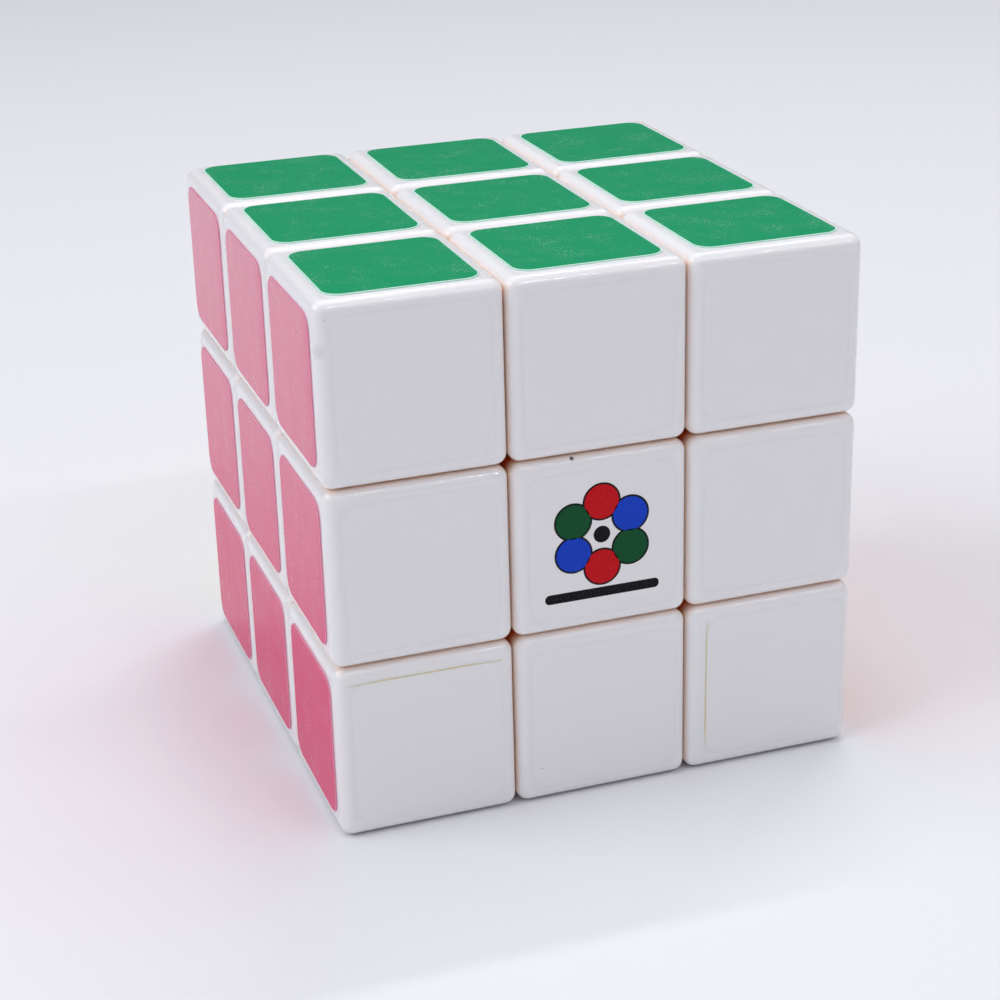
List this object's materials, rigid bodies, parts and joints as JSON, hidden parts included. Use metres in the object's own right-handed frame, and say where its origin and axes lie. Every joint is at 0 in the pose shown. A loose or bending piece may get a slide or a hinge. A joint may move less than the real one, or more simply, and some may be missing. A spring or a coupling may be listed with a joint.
{
  "type": "twisty puzzle cube",
  "caption": "White twisty puzzle cube whose face layers turn about a screwed and sprung core, with hooked corner and edge pieces and glossy coloured stickers on each outer face.",
  "frame": {"origin": "middle of the core, where the six turning axes meet", "axes": "+Z out of the top face (green), -Y out of the front face (white), +X out of the right face (orange)"},
  "size_m": [0.0574, 0.0574, 0.0574],
  "materials": {
    "shell_plastic": "white ABS, polished mould, slightly glossy",
    "foot_plastic": "white ABS, plain moulded, warm where light reaches it",
    "core_plastic": "white nylon, moulded",
    "screw_steel": "zinc plated",
    "spring_steel": "drawn wire",
    "washer_steel": "zinc plated, stamped",
    "green_vinyl": "self-adhesive vinyl film, glossy",
    "red_vinyl": "self-adhesive vinyl film, glossy",
    "white_vinyl": "self-adhesive vinyl film, glossy",
    "blue_vinyl": "self-adhesive vinyl film, glossy",
    "orange_vinyl": "self-adhesive vinyl film, glossy",
    "yellow_vinyl": "self-adhesive vinyl film, glossy",
    "badge_print": "screen printed ink"
  },
  "bodies": {
    "core": {"core": "core_plastic", "center_screws": "screw_steel", "center_springs": "spring_steel", "spring_washers": "washer_steel"},
    "corner_bottom_front_left": {"corner_bottom_front_left_shell": "shell_plastic", "corner_bottom_front_left_foot": "foot_plastic"},
    "edge_front_left": {"edge_front_left_shell": "shell_plastic", "edge_front_left_foot": "foot_plastic"},
    "corner_top_front_left": {"corner_top_front_left_shell": "shell_plastic", "corner_top_front_left_foot": "foot_plastic"},
    "edge_bottom_left": {"edge_bottom_left_shell": "shell_plastic", "edge_bottom_left_foot": "foot_plastic"},
    "center_left": {"center_left_cap": "shell_plastic", "center_left_base": "foot_plastic"},
    "edge_top_left": {"edge_top_left_shell": "shell_plastic", "edge_top_left_foot": "foot_plastic"},
    "corner_bottom_back_left": {"corner_bottom_back_left_shell": "shell_plastic", "corner_bottom_back_left_foot": "foot_plastic"},
    "edge_back_left": {"edge_back_left_shell": "shell_plastic", "edge_back_left_foot": "foot_plastic"},
    "corner_top_back_left": {"corner_top_back_left_shell": "shell_plastic", "corner_top_back_left_foot": "foot_plastic"},
    "edge_bottom_front": {"edge_bottom_front_shell": "shell_plastic", "edge_bottom_front_foot": "foot_plastic"},
    "center_front": {"center_front_cap": "shell_plastic", "center_front_base": "foot_plastic"},
    "edge_top_front": {"edge_top_front_shell": "shell_plastic", "edge_top_front_foot": "foot_plastic"},
    "center_bottom": {"center_bottom_cap": "shell_plastic", "center_bottom_base": "foot_plastic"},
    "center_top": {"center_top_cap": "shell_plastic", "center_top_base": "foot_plastic"},
    "edge_bottom_back": {"edge_bottom_back_shell": "shell_plastic", "edge_bottom_back_foot": "foot_plastic"},
    "center_back": {"center_back_cap": "shell_plastic", "center_back_base": "foot_plastic"},
    "edge_top_back": {"edge_top_back_shell": "shell_plastic", "edge_top_back_foot": "foot_plastic"},
    "corner_bottom_front_right": {"corner_bottom_front_right_shell": "shell_plastic", "corner_bottom_front_right_foot": "foot_plastic"},
    "edge_front_right": {"edge_front_right_shell": "shell_plastic", "edge_front_right_foot": "foot_plastic"},
    "corner_top_front_right": {"corner_top_front_right_shell": "shell_plastic", "corner_top_front_right_foot": "foot_plastic"},
    "edge_bottom_right": {"edge_bottom_right_shell": "shell_plastic", "edge_bottom_right_foot": "foot_plastic"},
    "center_right": {"center_right_cap": "shell_plastic", "center_right_base": "foot_plastic"},
    "edge_top_right": {"edge_top_right_shell": "shell_plastic", "edge_top_right_foot": "foot_plastic"},
    "corner_bottom_back_right": {"corner_bottom_back_right_shell": "shell_plastic", "corner_bottom_back_right_foot": "foot_plastic"},
    "edge_back_right": {"edge_back_right_shell": "shell_plastic", "edge_back_right_foot": "foot_plastic"},
    "corner_top_back_right": {"corner_top_back_right_shell": "shell_plastic", "corner_top_back_right_foot": "foot_plastic"}
  },
  "joints": [
    {"name": "left_turn", "type": "hinge", "parent": "core", "child": "center_left", "pos_m": [0, 0, 0], "axis": [1, 0, 0], "continuous": true},
    {"name": "front_turn", "type": "hinge", "parent": "core", "child": "center_front", "pos_m": [0, 0, 0], "axis": [0, 1, 0], "continuous": true},
    {"name": "bottom_turn", "type": "hinge", "parent": "core", "child": "center_bottom", "pos_m": [0, 0, 0], "axis": [0, 0, 1], "continuous": true},
    {"name": "top_turn", "type": "hinge", "parent": "core", "child": "center_top", "pos_m": [0, 0, 0], "axis": [0, 0, 1], "continuous": true},
    {"name": "back_turn", "type": "hinge", "parent": "core", "child": "center_back", "pos_m": [0, 0, 0], "axis": [0, 1, 0], "continuous": true},
    {"name": "right_turn", "type": "hinge", "parent": "core", "child": "center_right", "pos_m": [0, 0, 0], "axis": [1, 0, 0], "continuous": true},
    {"name": "edge_front_left_hinge", "type": "hinge", "parent": "center_left", "child": "edge_front_left", "pos_m": [0, 0, 0], "axis": [0, 1, 0], "continuous": true},
    {"name": "edge_bottom_left_hinge", "type": "hinge", "parent": "center_bottom", "child": "edge_bottom_left", "pos_m": [0, 0, 0], "axis": [1, 0, 0], "continuous": true},
    {"name": "edge_top_left_hinge", "type": "hinge", "parent": "center_top", "child": "edge_top_left", "pos_m": [0, 0, 0], "axis": [1, 0, 0], "continuous": true},
    {"name": "edge_back_left_hinge", "type": "hinge", "parent": "center_left", "child": "edge_back_left", "pos_m": [0, 0, 0], "axis": [0, 1, 0], "continuous": true},
    {"name": "edge_bottom_front_hinge", "type": "hinge", "parent": "center_front", "child": "edge_bottom_front", "pos_m": [0, 0, 0], "axis": [0, 0, 1], "continuous": true},
    {"name": "edge_top_front_hinge", "type": "hinge", "parent": "center_front", "child": "edge_top_front", "pos_m": [0, 0, 0], "axis": [0, 0, 1], "continuous": true},
    {"name": "edge_bottom_back_hinge", "type": "hinge", "parent": "center_back", "child": "edge_bottom_back", "pos_m": [0, 0, 0], "axis": [0, 0, 1], "continuous": true},
    {"name": "edge_top_back_hinge", "type": "hinge", "parent": "center_back", "child": "edge_top_back", "pos_m": [0, 0, 0], "axis": [0, 0, 1], "continuous": true},
    {"name": "edge_front_right_hinge", "type": "hinge", "parent": "center_right", "child": "edge_front_right", "pos_m": [0, 0, 0], "axis": [0, 1, 0], "continuous": true},
    {"name": "edge_bottom_right_hinge", "type": "hinge", "parent": "center_bottom", "child": "edge_bottom_right", "pos_m": [0, 0, 0], "axis": [1, 0, 0], "continuous": true},
    {"name": "edge_top_right_hinge", "type": "hinge", "parent": "center_top", "child": "edge_top_right", "pos_m": [0, 0, 0], "axis": [1, 0, 0], "continuous": true},
    {"name": "edge_back_right_hinge", "type": "hinge", "parent": "center_right", "child": "edge_back_right", "pos_m": [0, 0, 0], "axis": [0, 1, 0], "continuous": true},
    {"name": "corner_bottom_front_left_hinge", "type": "hinge", "parent": "edge_bottom_front", "child": "corner_bottom_front_left", "pos_m": [0, 0, 0], "axis": [1, 0, 0], "continuous": true},
    {"name": "corner_top_front_left_hinge", "type": "hinge", "parent": "edge_top_front", "child": "corner_top_front_left", "pos_m": [0, 0, 0], "axis": [1, 0, 0], "continuous": true},
    {"name": "corner_bottom_back_left_hinge", "type": "hinge", "parent": "edge_bottom_back", "child": "corner_bottom_back_left", "pos_m": [0, 0, 0], "axis": [1, 0, 0], "continuous": true},
    {"name": "corner_top_back_left_hinge", "type": "hinge", "parent": "edge_top_back", "child": "corner_top_back_left", "pos_m": [0, 0, 0], "axis": [1, 0, 0], "continuous": true},
    {"name": "corner_bottom_front_right_hinge", "type": "hinge", "parent": "edge_bottom_front", "child": "corner_bottom_front_right", "pos_m": [0, 0, 0], "axis": [1, 0, 0], "continuous": true},
    {"name": "corner_top_front_right_hinge", "type": "hinge", "parent": "edge_top_front", "child": "corner_top_front_right", "pos_m": [0, 0, 0], "axis": [1, 0, 0], "continuous": true},
    {"name": "corner_bottom_back_right_hinge", "type": "hinge", "parent": "edge_bottom_back", "child": "corner_bottom_back_right", "pos_m": [0, 0, 0], "axis": [1, 0, 0], "continuous": true},
    {"name": "corner_top_back_right_hinge", "type": "hinge", "parent": "edge_top_back", "child": "corner_top_back_right", "pos_m": [0, 0, 0], "axis": [1, 0, 0], "continuous": true}
  ],
  "couplings": [
    {"joint": "edge_front_left_hinge", "follows": "front_turn", "ratio": 1},
    {"joint": "edge_bottom_left_hinge", "follows": "left_turn", "ratio": 1},
    {"joint": "edge_top_left_hinge", "follows": "left_turn", "ratio": 1},
    {"joint": "edge_back_left_hinge", "follows": "back_turn", "ratio": 1},
    {"joint": "edge_bottom_front_hinge", "follows": "bottom_turn", "ratio": 1},
    {"joint": "edge_top_front_hinge", "follows": "top_turn", "ratio": 1},
    {"joint": "edge_bottom_back_hinge", "follows": "bottom_turn", "ratio": 1},
    {"joint": "edge_top_back_hinge", "follows": "top_turn", "ratio": 1},
    {"joint": "edge_front_right_hinge", "follows": "front_turn", "ratio": 1},
    {"joint": "edge_bottom_right_hinge", "follows": "right_turn", "ratio": 1},
    {"joint": "edge_top_right_hinge", "follows": "right_turn", "ratio": 1},
    {"joint": "edge_back_right_hinge", "follows": "back_turn", "ratio": 1},
    {"joint": "corner_bottom_front_left_hinge", "follows": "left_turn", "ratio": 1},
    {"joint": "corner_top_front_left_hinge", "follows": "left_turn", "ratio": 1},
    {"joint": "corner_bottom_back_left_hinge", "follows": "left_turn", "ratio": 1},
    {"joint": "corner_top_back_left_hinge", "follows": "left_turn", "ratio": 1},
    {"joint": "corner_bottom_front_right_hinge", "follows": "right_turn", "ratio": 1},
    {"joint": "corner_top_front_right_hinge", "follows": "right_turn", "ratio": 1},
    {"joint": "corner_bottom_back_right_hinge", "follows": "right_turn", "ratio": 1},
    {"joint": "corner_top_back_right_hinge", "follows": "right_turn", "ratio": 1}
  ]
}
